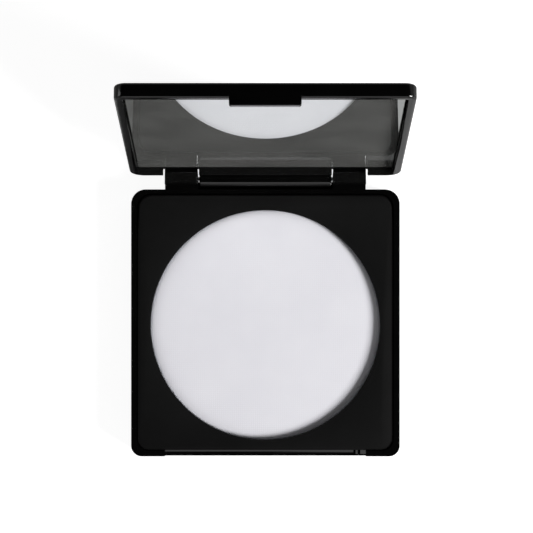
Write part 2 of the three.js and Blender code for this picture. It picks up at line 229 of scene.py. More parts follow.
def blend_colours(
    tree: bpy.types.NodeTree, value: bpy.types.NodeSocket, first: str, second: str
) -> bpy.types.NodeSocket:
    """Mix two hex colours by a 0 to 1 value.

    Args:
        tree: the node tree.
        value: the mix.
        first: colour at 0.
        second: colour at 1.

    Returns:
        The mixed colour.
    """
    ramp = add_node(tree, "ShaderNodeValToRGB", inputs={"Fac": value})
    ramp.color_ramp.elements[0].color = linear(first)
    ramp.color_ramp.elements[1].color = linear(second)
    return ramp.outputs["Color"]


def relief(
    tree: bpy.types.NodeTree,
    height: bpy.types.NodeSocket,
    depth_mm: float,
    under: bpy.types.NodeSocket | None = None,
) -> bpy.types.NodeSocket:
    """Bump a surface by a height of so many millimetres.

    Args:
        tree: the node tree.
        height: 0 to 1 height.
        depth_mm: the height of 1.
        under: a normal to add the bump to.

    Returns:
        The bumped normal.
    """
    inputs: dict[str | int, Any] = {"Height": height, "Distance": depth_mm * MM, "Strength": 1.0}
    if under is not None:
        inputs["Normal"] = under
    return add_node(tree, "ShaderNodeBump", inputs=inputs).outputs["Normal"]


def surface(tree: bpy.types.NodeTree, inputs: Mapping[str | int, Any]) -> bpy.types.Node:
    """Close a material with one Principled shader and its output.

    Args:
        tree: the node tree.
        inputs: the shader's values and links.

    Returns:
        The shader node.
    """
    shader = add_node(tree, "ShaderNodeBsdfPrincipled", inputs=inputs)
    add_node(tree, "ShaderNodeOutputMaterial", inputs={"Surface": shader.outputs["BSDF"]})
    return shader


# ---- Finishes ------------------------------------------------------------------------

Span = tuple[float, float]
WAVE_BAND = math.pi / 10  # a wave texture makes one band for each 2 pi / 20 of its scale
WHITE = (1.0, 1.0, 1.0, 1.0)


@dataclass(frozen=True)
class Finish:
    """A finish with a name, which each kind lays in its own way."""

    name: str

    def paint(self, tree: bpy.types.NodeTree) -> None:
        """Lay the finish's nodes."""
        raise NotImplementedError

    def build(self) -> bpy.types.Material:
        """Return the finished material."""
        material, tree = new_material(self.name)
        self.paint(tree)
        return material


@dataclass(frozen=True)
class GlossBlackAbs(Finish):
    """High-gloss black ABS, moulded against a polished tool.

    It gives deep black with sharp reflections, faint handling haze and a very slight
    waviness where the wall has shrunk on cooling.
    """

    name: str = "gloss_black_abs_moulded"
    deep: str = "#030303"
    lifted: str = "#070707"
    ior: float = 1.5
    haze_mm: float = 9.0
    wave_mm: float = 7.0
    wave_depth_mm: float = 0.0015
    roughness: Span = (0.08, 0.17)

    def paint(self, tree: bpy.types.NodeTree) -> None:
        """Lay the finish's nodes."""
        haze = speckle(tree, self.haze_mm, detail=6.0)
        wave = speckle(tree, self.wave_mm, detail=1.0)
        surface(
            tree,
            {
                "Base Color": blend_colours(tree, haze, self.deep, self.lifted),
                "Roughness": between(tree, haze, *self.roughness),
                "IOR": self.ior,
                "Normal": relief(tree, wave, self.wave_depth_mm),
            },
        )


@dataclass(frozen=True)
class SatinBlackAbs(Finish):
    """Satin black ABS, moulded against a spark-eroded tool.

    Its grain of small pits breaks up reflections, so it reads as a dark even grey. The pits
    are coloured a little darker than the land between them: painted shade.
    """

    name: str = "satin_black_abs_spark_grain"
    # painted shade: the pits, low in the bump, take the darker colour
    pit_shade: str = "#0a0a0a"
    land: str = "#101010"
    ior: float = 1.5
    gloss: float = 0.12  # the pits hide most of the surface's own shine
    grain_mm: float = 0.22  # a guess, drawn coarse so that it shows
    grain_depth_mm: float = 0.006
    cloud_mm: float = 14.0
    roughness: Span = (0.42, 0.5)

    def paint(self, tree: bpy.types.NodeTree) -> None:
        """Lay the finish's nodes."""
        grain = speckle(tree, self.grain_mm, detail=2.0)
        cloud = speckle(tree, self.cloud_mm, detail=4.0)
        surface(
            tree,
            {
                "Base Color": blend_colours(tree, grain, self.pit_shade, self.land),
                "Roughness": between(tree, cloud, *self.roughness),
                "IOR": self.ior,
                "Specular IOR Level": self.gloss,
                "Normal": relief(tree, grain, self.grain_depth_mm),
            },
        )


@dataclass(frozen=True)
class PressedPowder(Finish):
    """Pale talc and mica powder, pressed through a ribbon of woven cloth.

    The cloth leaves a shallow grid of thread marks, whose grooves are coloured darker as
    painted shade; the mica gives a fine speckle, partly its own pale colour and partly a
    painted glint, and a faint sheen at a low angle.
    """

    name: str = "pressed_talc_mica_powder"
    shade: str = "#d8d7dd"
    light: str = "#dfdee3"
    speck: str = "#f1f1f4"
    thread_mm: float = 0.55  # a guess, drawn coarse so that it shows
    thread_depth_mm: float = 0.012
    thread_waver: float = 1.6
    thread_shade_share: float = 0.35  # painted shade in the thread marks' grooves: the weave's share in the tone, beside the cloud
    grain_mm: float = 0.16
    grain_depth_mm: float = 0.012
    cloud_mm: float = 11.0
    tone_span: Span = (0.3, 0.95)
    glint: float = 0.5
    glint_span: Span = (0.6, 0.75)
    roughness: Span = (0.62, 0.85)
    ior: float = 1.45
    gloss: float = 0.25
    sheen: float = 0.08
    sheen_roughness: float = 0.4

    def paint(self, tree: bpy.types.NodeTree) -> None:
        """Lay the finish's nodes."""
        points = object_points(tree)
        turns = 1 / (self.thread_mm * MM)
        threads = [
            add_node(
                tree,
                "ShaderNodeTexWave",
                {"wave_type": "BANDS", "bands_direction": way},
                {
                    "Vector": points,
                    "Scale": turns * WAVE_BAND,
                    "Distortion": self.thread_waver,
                    "Detail": 2.0,
                    "Detail Scale": 0.4,
                },
            ).outputs["Fac"]
            for way in ("X", "Y")
        ]
        weave = add_node(
            tree, "ShaderNodeMath", {"operation": "MULTIPLY"}, {0: threads[0], 1: threads[1]}
        ).outputs["Value"]
        grain = speckle(tree, self.grain_mm, detail=2.0)
        cloud = speckle(tree, self.cloud_mm, detail=4.0)
        # painted shade: the weave colours the powder darker where its bump is low, in the thread grooves, on
        # top of the random cloud
        tone = add_node(
            tree, "ShaderNodeMath", {"operation": "MULTIPLY_ADD"}, {0: weave, 1: self.thread_shade_share, 2: cloud}
        ).outputs["Value"]
        tones = between(tree, tone, 0.0, 1.0, *self.tone_span)
        body = blend_colours(tree, tones, self.shade, self.light)
        # painted glint: the mica specks are laid into the colour as lighter spots, partly their own pale
        # colour
        glints = between(tree, grain, 0.0, self.glint, *self.glint_span)
        colour = add_node(
            tree,
            "ShaderNodeMix",
            {"data_type": "RGBA"},
            {0: glints, 6: body, 7: linear(self.speck)},
        ).outputs[2]
        pressed = relief(tree, weave, self.thread_depth_mm)
        surface(
            tree,
            {
                "Base Color": colour,
                "Roughness": between(tree, grain, *self.roughness),
                "IOR": self.ior,
                "Specular IOR Level": self.gloss,
                "Sheen Weight": self.sheen,
                "Sheen Roughness": self.sheen_roughness,
                "Normal": relief(tree, grain, self.grain_depth_mm, pressed),
            },
        )


@dataclass(frozen=True)
class DrawnTinplate(Finish):
    """Bright tinplate, deep drawn into a shallow pan.

    Drawing leaves fine rings and a soft grey shine.
    """

    name: str = "tinplate_deep_drawn"
    dark: str = "#9c9ea1"
    bright: str = "#c9cbcd"
    ring_mm: float = 0.3
    ring_waver: float = 0.8
    ring_depth_mm: float = 0.002
    cloud_mm: float = 5.0
    roughness: Span = (0.28, 0.42)

    def paint(self, tree: bpy.types.NodeTree) -> None:
        """Lay the finish's nodes."""
        rings = add_node(
            tree,
            "ShaderNodeTexWave",
            {"wave_type": "RINGS", "rings_direction": "Z"},
            {
                "Vector": object_points(tree),
                "Scale": WAVE_BAND / (self.ring_mm * MM),
                "Distortion": self.ring_waver,
                "Detail": 2.0,
            },
        ).outputs["Fac"]
        cloud = speckle(tree, self.cloud_mm, detail=4.0)
        surface(
            tree,
            {
                "Base Color": blend_colours(tree, cloud, self.dark, self.bright),
                "Metallic": 1.0,
                "Roughness": between(tree, cloud, *self.roughness),
                "Normal": relief(tree, rings, self.ring_depth_mm),
            },
        )


@dataclass(frozen=True)
class BrightSteel(Finish):
    """Cold-drawn steel wire, cut to a pin: bright, with lines along its length."""

    name: str = "steel_wire_cold_drawn"
    dark: str = "#8f9194"
    bright: str = "#c4c6c8"
    line_mm: float = 0.15
    line_depth_mm: float = 0.003
    stretch: float = 0.05  # of the noise along the wire
    roughness: Span = (0.2, 0.36)

    def paint(self, tree: bpy.types.NodeTree) -> None:
        """Lay the finish's nodes."""
        stretched = add_node(
            tree,
            "ShaderNodeMapping",
            inputs={"Vector": object_points(tree), "Scale": (self.stretch, 1.0, 1.0)},
        ).outputs["Vector"]
        lines = speckle(tree, self.line_mm, detail=3.0, where=stretched)
        surface(
            tree,
            {
                "Base Color": blend_colours(tree, lines, self.dark, self.bright),
                "Metallic": 1.0,
                "Roughness": between(tree, lines, *self.roughness),
                "Normal": relief(tree, lines, self.line_depth_mm),
            },
        )


@dataclass(frozen=True)
class SilveredGlass(Finish):
    """Float glass silvered on its back, with the faint bloom of powder dust on it.

    It mirrors sharply, and the dust lifts its darks a little, unevenly.
    """

    name: str = "silvered_glass_with_powder_bloom"
    silver: str = "#e9eceb"
    bloom: str = "#d9dad6"
    thin_bloom: str = "#c9cac6"
    dust: Span = (0.075, 0.115)  # how much of the glass the dust hides
    dust_roughness: float = 0.9
    dust_mm: float = 0.5
    cloud_mm: float = 16.0
    haze: float = 0.012

    def paint(self, tree: bpy.types.NodeTree) -> None:
        """Lay the finish's nodes."""
        cloud = speckle(tree, self.cloud_mm, detail=5.0)
        fine = speckle(tree, self.dust_mm, detail=2.0)
        mirror = add_node(
            tree,
            "ShaderNodeBsdfPrincipled",
            inputs={
                "Base Color": linear(self.silver),
                "Metallic": 1.0,
                "Roughness": between(tree, cloud, 0.0, self.haze),
            },
        )
        dust = add_node(
            tree,
            "ShaderNodeBsdfPrincipled",
            inputs={
                "Base Color": blend_colours(tree, fine, self.thin_bloom, self.bloom),
                "Roughness": self.dust_roughness,
                "Specular IOR Level": 0.0,
            },
        )
        mixed = add_node(
            tree,
            "ShaderNodeMixShader",
            inputs={
                0: between(tree, cloud, *self.dust),
                1: mirror.outputs["BSDF"],
                2: dust.outputs["BSDF"],
            },
        )
        add_node(tree, "ShaderNodeOutputMaterial", inputs={"Surface": mixed.outputs["Shader"]})


@dataclass(frozen=True)
class CoatedSheet(Finish):
    """A thin coated sheet with a fine, dull texture."""

    dark: str
    light: str
    texture_mm: float
    detail: float
    roughness: tuple[float, float]
    depth_mm: float

    def paint(self, tree: bpy.types.NodeTree) -> None:
        """Lay the finish's nodes."""
        texture = speckle(tree, self.texture_mm, self.detail)
        surface(
            tree,
            {
                "Base Color": blend_colours(tree, texture, self.dark, self.light),
                "Roughness": between(tree, texture, *self.roughness),
                "Normal": relief(tree, texture, self.depth_mm),
            },
        )


# off-white tissue, with short fibres under a dull glue film
TISSUE_TAPE = CoatedSheet("tissue_tape_coated", "#d8d2c2", "#eeeadd", 0.6, 5.0, (0.5, 0.75), 0.02)
# a dry even black with a fine tooth
MATT_LABEL = CoatedSheet(
    "polyester_label_matt_coated", "#161617", "#222224", 0.3, 3.0, (0.6, 0.75), 0.004
)


@dataclass(frozen=True)
class LightTable(Finish):
    """Opal acrylic sheet lit from under: it shows as an even white with hardly a shadow.

    Its glow is shown to the camera only, which no real sheet does. The glossy black
    reflects it as a pale grey sheet, lit by the studio.
    """

    name: str = "opal_acrylic_light_table"
    dark: str = "#a6a6a6"
    light: str = "#acacac"
    grain_mm: float = 3.0
    roughness: float = 0.7
    gloss: float = 0.2
    glow: float = 0.9

    def paint(self, tree: bpy.types.NodeTree) -> None:
        """Lay the finish's nodes."""
        grain = speckle(tree, self.grain_mm, detail=2.0)
        seen = add_node(tree, "ShaderNodeLightPath").outputs["Is Camera Ray"]
        surface(
            tree,
            {
                "Base Color": blend_colours(tree, grain, self.dark, self.light),
                "Roughness": self.roughness,
                "Specular IOR Level": self.gloss,
                "Emission Color": WHITE,
                "Emission Strength": between(tree, seen, 0.0, self.glow, 0.0, 1.0),
            },
        )


# ---- Modelling -----------------------------------------------------------------------


def deselect_all() -> None:
    """Leave edit mode and select nothing."""
    if bpy.context.object and bpy.context.object.mode != "OBJECT":
        bpy.ops.object.mode_set(mode="OBJECT")
    bpy.ops.object.select_all(action="DESELECT")


PIN_STEPS = 24  # sides of the thin rods
Test = Callable[[Vector, Vector], bool]


class Workpiece:
    """A mesh that is shaped in millimetres, then placed and dressed."""

    def __init__(self, obj: bpy.types.Object, name: str) -> None:
        """Take over a fresh primitive.

        Args:
            obj: the primitive's object.
            name: the piece's name.
        """
        self.obj = obj
        obj.name = name
        obj.data.name = name

    @classmethod
    def block(cls, name: str, low: Point, high: Point) -> "Workpiece":
        """Add a box between two corners.

        Args:
            name: the piece's name.
            low: its lowest corner.
            high: its highest corner.

        Returns:
            The new piece.
        """
        deselect_all()
        centre = [(a + b) / 2 for a, b in zip(low, high)]
        size = [b - a for a, b in zip(low, high)]
        bpy.ops.mesh.primitive_cube_add(size=1.0, location=centre, scale=size)
        bpy.ops.object.transform_apply(location=True, rotation=True, scale=True)
        return cls(bpy.context.object, name)

    @classmethod
    def rod(
        cls,
        name: str,
        radius: float,
        length: float,
        centre: Point,
        steps: int = 48,
        axis: Axis = Axis.Z,
    ) -> "Workpiece":
        """Add a round bar.

        Args:
            name: the piece's name.
            radius: its radius.
            length: its length.
            centre: its middle.
            steps: how many sides it has.
            axis: the way it lies.

        Returns:
            The new piece.
        """
        deselect_all()
        bpy.ops.mesh.primitive_cylinder_add(
            vertices=steps, radius=radius, depth=length, location=centre, rotation=axis.value
        )
        bpy.ops.object.transform_apply(location=True, rotation=True, scale=True)
        return cls(bpy.context.object, name)

    @classmethod
    def posts(
        cls, name: str, radius: float, low: float, high: float, places: Sequence[tuple]
    ) -> list["Workpiece"]:
        """Add an upright rod at each place.

        Args:
            name: the pieces' name.
            radius: their radius.
            low: height of their foot.
            high: height of their top.
            places: X and Y of each.

        Returns:
            The new pieces.
        """
        middle = low + (high - low) / 2
        return [cls.rod(name, radius, high - low, (x, y, middle), PIN_STEPS) for x, y in places]

    @classmethod
    def pair(cls, name: str, radius: float, length: float, centre: Point) -> list["Workpiece"]:
        """Add a rod along X on each side of the middle.

        Args:
            name: the pieces' name.
            radius: their radius.
            length: their length.
            centre: the middle of the right one.

        Returns:
            The new pieces.
        """
        x, y, z = centre
        return [
            cls.rod(name, radius, length, (side * x, y, z), PIN_STEPS, Axis.X)
            for side in (-1, 1)
        ]

    def activate(self) -> None:
        """Make this the one selected, active object."""
        deselect_all()
        self.obj.select_set(True)
        bpy.context.view_layer.objects.active = self.obj

    @contextmanager
    def editing(self, kind: str) -> Iterator[bmesh.types.BMesh]:
        """Enter edit mode with nothing selected, and leave it again.

        Args:
            kind: "VERT", "EDGE" or "FACE" selection.

        Yields:
            The edit mesh, to pick from.
        """
        self.activate()
        bpy.ops.object.mode_set(mode="EDIT")
        bpy.ops.mesh.select_mode(type=kind)
        bpy.ops.mesh.select_all(action="DESELECT")
        try:
            yield bmesh.from_edit_mesh(self.obj.data)
        finally:
            bpy.ops.object.mode_set(mode="OBJECT")

    def _select(self, mesh: bmesh.types.BMesh, chosen: list[Any]) -> int:
        """Select edges or faces in edit mode, and return how many."""
        for element in chosen:
            element.select_set(True)
        mesh.select_flush_mode()
        bmesh.update_edit_mesh(self.obj.data)
        return len(chosen)

    def _pick_edges(self, mesh: bmesh.types.BMesh, test: Test) -> int:
        """Select the edges whose two ends pass a test."""
        return self._select(mesh, [e for e in mesh.edges if test(e.verts[0].co, e.verts[1].co)])

    def _pick_faces(self, mesh: bmesh.types.BMesh, test: Test) -> int:
        """Select the faces whose middle and normal pass a test."""
        mesh.normal_update()
        return self._select(mesh, [f for f in mesh.faces if test(f.calc_center_median(), f.normal)])

    def bevel(self, test: Test, radius: float, steps: int) -> "Workpiece":
        """Round the edges that pass a test.

        Args:
            test: takes an edge's two ends.
            radius: the rounding's radius.
            steps: its segments.

        Returns:
            This piece.
        """
        with self.editing("EDGE") as mesh:
            if not self._pick_edges(mesh, test):
                raise ValueError(f"no edge to bevel on {self.obj.name}")
            bpy.ops.mesh.bevel(offset=radius, segments=steps, profile=0.5, affect="EDGES")
        return self

    def round_corners(self, front: float, rear: float, middle: float, steps: int) -> "Workpiece":
        """Round the upright corners, with one radius in front and one behind.

        Args:
            front: radius at low Y.
            rear: radius at high Y.
            middle: the Y that parts front from rear.
            steps: segments in each corner.

        Returns:
            This piece.
        """

        def upright(a: Vector, b: Vector) -> bool:
            return abs(a.x - b.x) < NEAR and abs(a.y - b.y) < NEAR

        self.bevel(lambda a, b: upright(a, b) and a.y < middle, front, steps)
        return self.bevel(lambda a, b: upright(a, b) and a.y > middle, rear, steps)

    def round_level(self, height: float, radius: float, steps: int) -> "Workpiece":
        """Round the edges that lie at one height.

        Args:
            height: their Z.
            radius: the rounding's radius.
            steps: its segments.

        Returns:
            This piece.
        """
        return self.bevel(
            lambda a, b: abs(a.z - height) < NEAR and abs(b.z - height) < NEAR, radius, steps
        )

    def push(self, test: Test, move: Point) -> "Workpiece":
        """Move the edges that pass a test.

        Args:
            test: takes an edge's two ends.
            move: how far.

        Returns:
            This piece.
        """
        with self.editing("EDGE") as mesh:
            self._pick_edges(mesh, test)
            bpy.ops.transform.translate(value=move)
        return self

    def step_in(self, test: Test, inset: float, lift: float) -> "Workpiece":
        """Inset the faces that pass a test, and raise or sink them.

        Args:
            test: takes a face's middle and normal.
            inset: how far in.
            lift: how far up.

        Returns:
            This piece.
        """
        with self.editing("FACE") as mesh:
            self._pick_faces(mesh, test)
            bpy.ops.mesh.inset(thickness=inset)
            bpy.ops.transform.translate(value=(0, 0, lift))
        return self

    def sink(self, test: Test, depth: float) -> "Workpiece":
        """Extrude the faces that pass a test straight down.

        Args:
            test: takes a face's middle and normal.
            depth: how far.

        Returns:
            This piece.
        """
        with self.editing("FACE") as mesh:
            self._pick_faces(mesh, test)
            bpy.ops.mesh.extrude_region_move(TRANSFORM_OT_translate={"value": (0, 0, -depth)})
        return self

    def _boolean(self, other: "Workpiece", operation: str) -> "Workpiece":
        """Join or cut with another piece, which is used up."""
        self.activate()
        modifier = self.obj.modifiers.new(operation.lower(), "BOOLEAN")
        modifier.operation = operation
        modifier.solver = "EXACT"
        modifier.object = other.obj
        bpy.ops.object.modifier_apply(modifier=modifier.name)
        mesh = other.obj.data
        bpy.data.objects.remove(other.obj)
        bpy.data.meshes.remove(mesh)
        return self

    def carve(self, *others: "Workpiece") -> "Workpiece":
        """Cut other pieces out of this one."""
        for other in others:
            self._boolean(other, "DIFFERENCE")
        return self

    def weld(self, *others: "Workpiece") -> "Workpiece":
        """Join other pieces to this one."""
        for other in others:
            self._boolean(other, "UNION")
        return self

    def soften(self, radius: float, steps: int = 2, angle_deg: float = 40.0) -> "Workpiece":
        """Round every remaining sharp edge a little.

        Args:
            radius: the rounding's radius.
            steps: its segments.
            angle_deg: edges sharper than this are rounded.

        Returns:
            This piece.
        """
        self.activate()
        modifier = self.obj.modifiers.new("soften", "BEVEL")
        modifier.width = radius
        modifier.segments = steps
        modifier.limit_method = "ANGLE"
        modifier.angle_limit = math.radians(angle_deg)
        modifier.use_clamp_overlap = True
        modifier.miter_outer = "MITER_ARC"
        bpy.ops.object.modifier_apply(modifier=modifier.name)
        return self

    def clean(self) -> "Workpiece":
        """Merge doubled points and turn every face outwards."""
        with self.editing("VERT"):
            bpy.ops.mesh.select_all(action="SELECT")
            bpy.ops.mesh.remove_doubles(threshold=0.001)
            bpy.ops.mesh.dissolve_degenerate(threshold=0.001)
            bpy.ops.mesh.normals_make_consistent(inside=False)
        return self

    def place(self, at: Point = (0.0, 0.0, 0.0), turn_deg: float = 0.0) -> "Workpiece":
        """Bring the mesh to metres and to its place, turned about X.

        Args:
            at: where the mesh's own origin goes, in mm.
            turn_deg: its turn about X.

        Returns:
            This piece.
        """
        self.activate()
        self.obj.location = [c * MM for c in at]
        self.obj.rotation_euler = (math.radians(turn_deg), 0.0, 0.0)
        self.obj.scale = (MM, MM, MM)
        bpy.ops.object.transform_apply(location=True, rotation=True, scale=True)
        bpy.ops.object.shade_smooth_by_angle(angle=math.radians(SMOOTH_DEG))
        return self

    def dress(
        self, material: bpy.types.Material, body: Body, slot: Slot, *nodes: str
    ) -> bpy.types.Object:
        """Give the piece its finish, its body and the CAD nodes that it stands for.

        Args:
            material: its finish.
            body: the body it rides on.
            slot: the record's material slot; not used.
            nodes: the CAD nodes that it replaces.

        Returns:
            The finished object.
        """
        self.obj.data.materials.clear()
        self.obj.data.materials.append(material)
        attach(self.obj, body.value)
        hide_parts(*nodes)
        LOG.info("%s: %d faces", self.obj.name, len(self.obj.data.polygons))
        return self.obj


# ---- Shared sizes --------------------------------------------------------------------


@dataclass(frozen=True)
class CasePlan:
    """Sizes that the base and the lid share, in mm."""

    width: float = 70.0
    depth: float = 69.6
    front_corner: float = 2.8
    rear_corner: float = 3.8
    corner_steps: int = 12
    hinge_setback: float = 2.63
    base_height: float = 8.8
    parting_gap: float = 0.3
    barrel_half: float = 17.15
    barrel_radius: float = 1.95
    ear_inner: float = 17.55
    ear_outer: float = 26.15
    ledge_half: float = 26.2
    tongue_length: float = 1.9
    opening_deg: float = 102.8
    peg_inset: float = 4.4
    through: float = 1.0  # how far a cutter passes a face

    @property
    def peg_places(self) -> list[tuple[float, float]]:
        """X and Y of the four pegs."""
        x, y = self.half - self.peg_inset, self.rear - self.peg_inset
        return [(sx * x, sy * y) for sx in (-1, 1) for sy in (-1, 1)]

    @property
    def half(self) -> float:
        """Half the width."""
        return self.width / 2

    @property
    def front(self) -> float:
        """Y of the front face."""
        return -self.depth / 2

    @property
    def rear(self) -> float:
        """Y of the rear face."""
        return self.depth / 2

    @property
    def hinge(self) -> Point:
        """A point on the hinge axis."""
        return (0.0, self.rear + self.hinge_setback, self.base_height + self.parting_gap / 2)

    @property
    def tongue_tip(self) -> float:
        """Height of the latch tongue's tip when the lid is shut."""
        return self.base_height + self.parting_gap - self.tongue_length


# ---- Base ----------------------------------------------------------------------------


@dataclass
class BaseCase:
    """The base moulding: tray, front ledge, hinge ears and the well under the panel."""

    plan: CasePlan
    finish: GlossBlackAbs
    bottom_edge: float = 1.2
    floor: float = 1.6
    side_wall: float = 1.5
    front_wall: float = 1.5
    rear_wall: float = 1.1
    cavity_front_corner: float = 3.1
    cavity_rear_corner: float = 3.9
    rim_round: float = 0.1
    ledge_drop: float = 0.3  # under the tongue's tip
    ledge_fall: float = 0.65
    ledge_lip: float = 0.4
    ledge_reach: float = 0.1  # of the cut past the front wall
    nib_places: tuple[float, ...] = (23.3, 24.5)
    nib_size: Point = (0.6, 0.9, 0.95)
    nib_setback: float = 0.4
    ear_front: float = 1.35
    ear_reach: float = 2.75
    ear_round: float = 0.4
    ear_bottom: float = 2.85
    ear_steps: int = 4
    ear_round_from: float = 0.5  # above the axis
    ear_upright: float = 1.0  # an ear's edge taller than this is upright
    heel_forward: float = 0.5  # of the barrel's radius, from the axis
    heel_rise: float = 0.3
    land_drop: float = 0.6  # below the ears
    land_lap: float = 0.3  # into the ears
    stop_gap: float = 0.06
    cradle_reach: float = 2.0
    cradle_depth: float = 1.8
    pin_radius: float = 0.65
    well_radius: float = 30.5
    well_wall: float = 0.8
    well_top: float = 7.0
    well_centre: float = -0.55
    well_steps: int = 96
    boss_radius: float = 2.25
    socket_radius: float = 1.25
    socket_bottom: float = 4.0
    label_centre: float = -18.0
    label_size: tuple[float, float] = (40.4, 18.4)
    label_corner: float = 2.2
    label_recess: float = 0.3

    def tray(self) -> Workpiece:
        """Return the outer box with its corners and bottom edge rounded, hollowed out."""
        p = self.plan
        tray = Workpiece.block("base_case", (-p.half, p.front, 0), (p.half, p.rear, p.base_height))
        tray.round_corners(p.front_corner, p.rear_corner, 0.0, p.corner_steps)
        tray.round_level(0.0, self.bottom_edge, 6)
        cavity = Workpiece.block(
            "cavity",
            (-p.half + self.side_wall, p.front + self.front_wall, self.floor),
            (p.half - self.side_wall, p.rear - self.rear_wall, p.base_height + p.through),
        )
        cavity.round_corners(self.cavity_front_corner, self.cavity_rear_corner, 0.0, p.corner_steps)
        return tray.carve(cavity)

    def well(self) -> list[Workpiece]:
        """Return the ring that holds the pan and the four peg bosses."""
        low = self.floor / 2
        height = self.well_top - low
        middle = (0.0, self.well_centre, low + height / 2)
        outer = self.well_radius + self.well_wall
        ring = Workpiece.rod("well", outer, height, middle, self.well_steps)
        ring.carve(
            Workpiece.rod("well_bore", self.well_radius, height * 2, middle, self.well_steps)
        )
        places = self.plan.peg_places
        return [ring, *Workpiece.posts("boss", self.boss_radius, low, self.well_top, places)]

    def sockets(self) -> list[Workpiece]:
        """Return the cutters for the peg sockets."""
        top = self.well_top + self.plan.through
        return Workpiece.posts(
            "socket", self.socket_radius, self.socket_bottom, top, self.plan.peg_places
        )

    def front_cut(self) -> Workpiece:
        """Return the cutter that leaves the front ledge: a slope, then a level lip."""
        p = self.plan
        back = p.front + self.front_wall + self.ledge_reach
        lip_edge = p.front + self.ledge_lip
        ledge = p.tongue_tip - self.ledge_drop
        cut = Workpiece.block(
            "front_cut",
            (-p.ledge_half, lip_edge, ledge),
            (p.ledge_half, back, p.base_height + p.through),
        )
        cut.push(
            lambda a, b: max(a.z, b.z) < ledge + NEAR and max(a.y, b.y) < lip_edge + NEAR,
            (0, 0, -self.ledge_fall),
        )
        over_lip = Workpiece.block(
            "over_lip",
            (-p.ledge_half, p.front - p.through, ledge - self.ledge_fall),
            (p.ledge_half, lip_edge + NEAR, p.base_height + p.through),
        )
        return cut.weld(over_lip)

    def nibs(self) -> list[Workpiece]:
        """Return the two small nibs at one end of the ledge."""
        p = self.plan
        wide, deep, tall = self.nib_size
        low = p.tongue_tip - self.ledge_drop - self.ledge_fall
        near = p.front + self.nib_setback
        return [
            Workpiece.block(
                "nib", (x - wide / 2, near, low), (x + wide / 2, near + deep, low + tall)
            )
            for x in self.nib_places
        ]

    def ear(self, side: int) -> Workpiece:
        """Return one hinge ear: upright in front, with a top that slopes to the stop.

        Args:
            side: -1 for the left ear, 1 for the right.

        Returns:
            The ear, with its upper edges rounded.
        """
        p = self.plan
        _, hinge_y, hinge_z = p.hinge
        tilt = math.radians(p.opening_deg - 90)
        reach = p.hinge_setback - self.stop_gap

        def stop_height(y: float) -> float:
            return hinge_z + (reach - y * math.sin(tilt)) / math.cos(tilt) - self.stop_gap

        inner, outer = sorted((side * p.ear_inner, side * p.ear_outer))
        low = hinge_z - self.ear_bottom
        ear = Workpiece.block(
            "ear",
            (inner, hinge_y - self.ear_front, low),
            (outer, hinge_y + self.ear_reach, stop_height(-self.ear_front)),
        )
        drop = stop_height(self.ear_reach) - stop_height(-self.ear_front)
        ear.push(lambda a, b: min(a.z, b.z) > hinge_z and min(a.y, b.y) > hinge_y, (0, 0, drop))
        # the underside's back edge is drawn forward and up, to a heel
        ear.push(
            lambda a, b: max(a.z, b.z) < low + NEAR and min(a.y, b.y) > hinge_y,
            (0, -self.ear_reach + p.barrel_radius * self.heel_forward, self.heel_rise),
        )
        top = hinge_z + self.ear_round_from
        ear.bevel(lambda a, b: a.z > top and b.z > top, self.ear_round, self.ear_steps)
        ear.bevel(
            lambda a, b: abs(a.x - b.x) < NEAR
            and min(a.y, b.y) > hinge_y
            and abs(a.z - b.z) > self.ear_upright,
            self.ear_round,
            self.ear_steps,
        )
        return ear

    def lands(self) -> list[Workpiece]:
        """Return what joins the ears to the rear wall, and the rib under the barrel."""
        p = self.plan
        _, hinge_y, hinge_z = p.hinge
        root = p.rear - self.rear_wall / 2
        pieces = []
        for side in (-1, 1):
            inner, outer = sorted((side * p.ear_inner, side * p.ear_outer))
            pieces.append(
                Workpiece.block(
                    "land",
                    (inner, root, hinge_z - self.ear_bottom - self.land_drop),
                    (outer, hinge_y - self.ear_front + self.land_lap, p.base_height),
                )
            )
        top = hinge_z - p.barrel_radius - p.parting_gap
        rib = Workpiece.block(
            "cradle",
            (-p.ear_outer, root, top - self.cradle_depth),
            (p.ear_outer, p.rear + self.cradle_reach, top),
        )
        rib.push(
            lambda a, b: max(a.z, b.z) < top - NEAR and min(a.y, b.y) > p.rear,
            (0, 0, self.cradle_depth / 2),
        )
        return [rib, *pieces]

    def pin_holes(self) -> list[Workpiece]:
        """Return the cutters for the pins' holes through the ears."""
        p = self.plan
        length = p.ear_outer - p.ear_inner + 2 * p.through
        middle = (p.ear_outer + p.ear_inner) / 2
        return Workpiece.pair("pin_hole", self.pin_radius, length, (middle, *p.hinge[1:]))

    def label_pocket(self) -> Workpiece:
        """Return the cutter for the shallow pocket under the base."""
        wide, deep = self.label_size
        pocket = Workpiece.block(
            "label_pocket",
            (-wide / 2, self.label_centre - deep / 2, -self.plan.through),
            (wide / 2, self.label_centre + deep / 2, self.label_recess),
        )
        return pocket.round_corners(self.label_corner, self.label_corner, self.label_centre, 6)

    def build(self) -> bpy.types.Object:
        """Return the finished base moulding."""
        base = self.tray()
        base.weld(*self.well(), *self.lands(), self.ear(-1), self.ear(1))
        base.carve(*self.sockets(), *self.pin_holes(), self.front_cut(), self.label_pocket())
        base.weld(*self.nibs())
        base.clean().soften(self.rim_round, 4)
        return base.place().dress(self.finish.build(), Body.BASE, Slot.GLOSS, "base_shell")


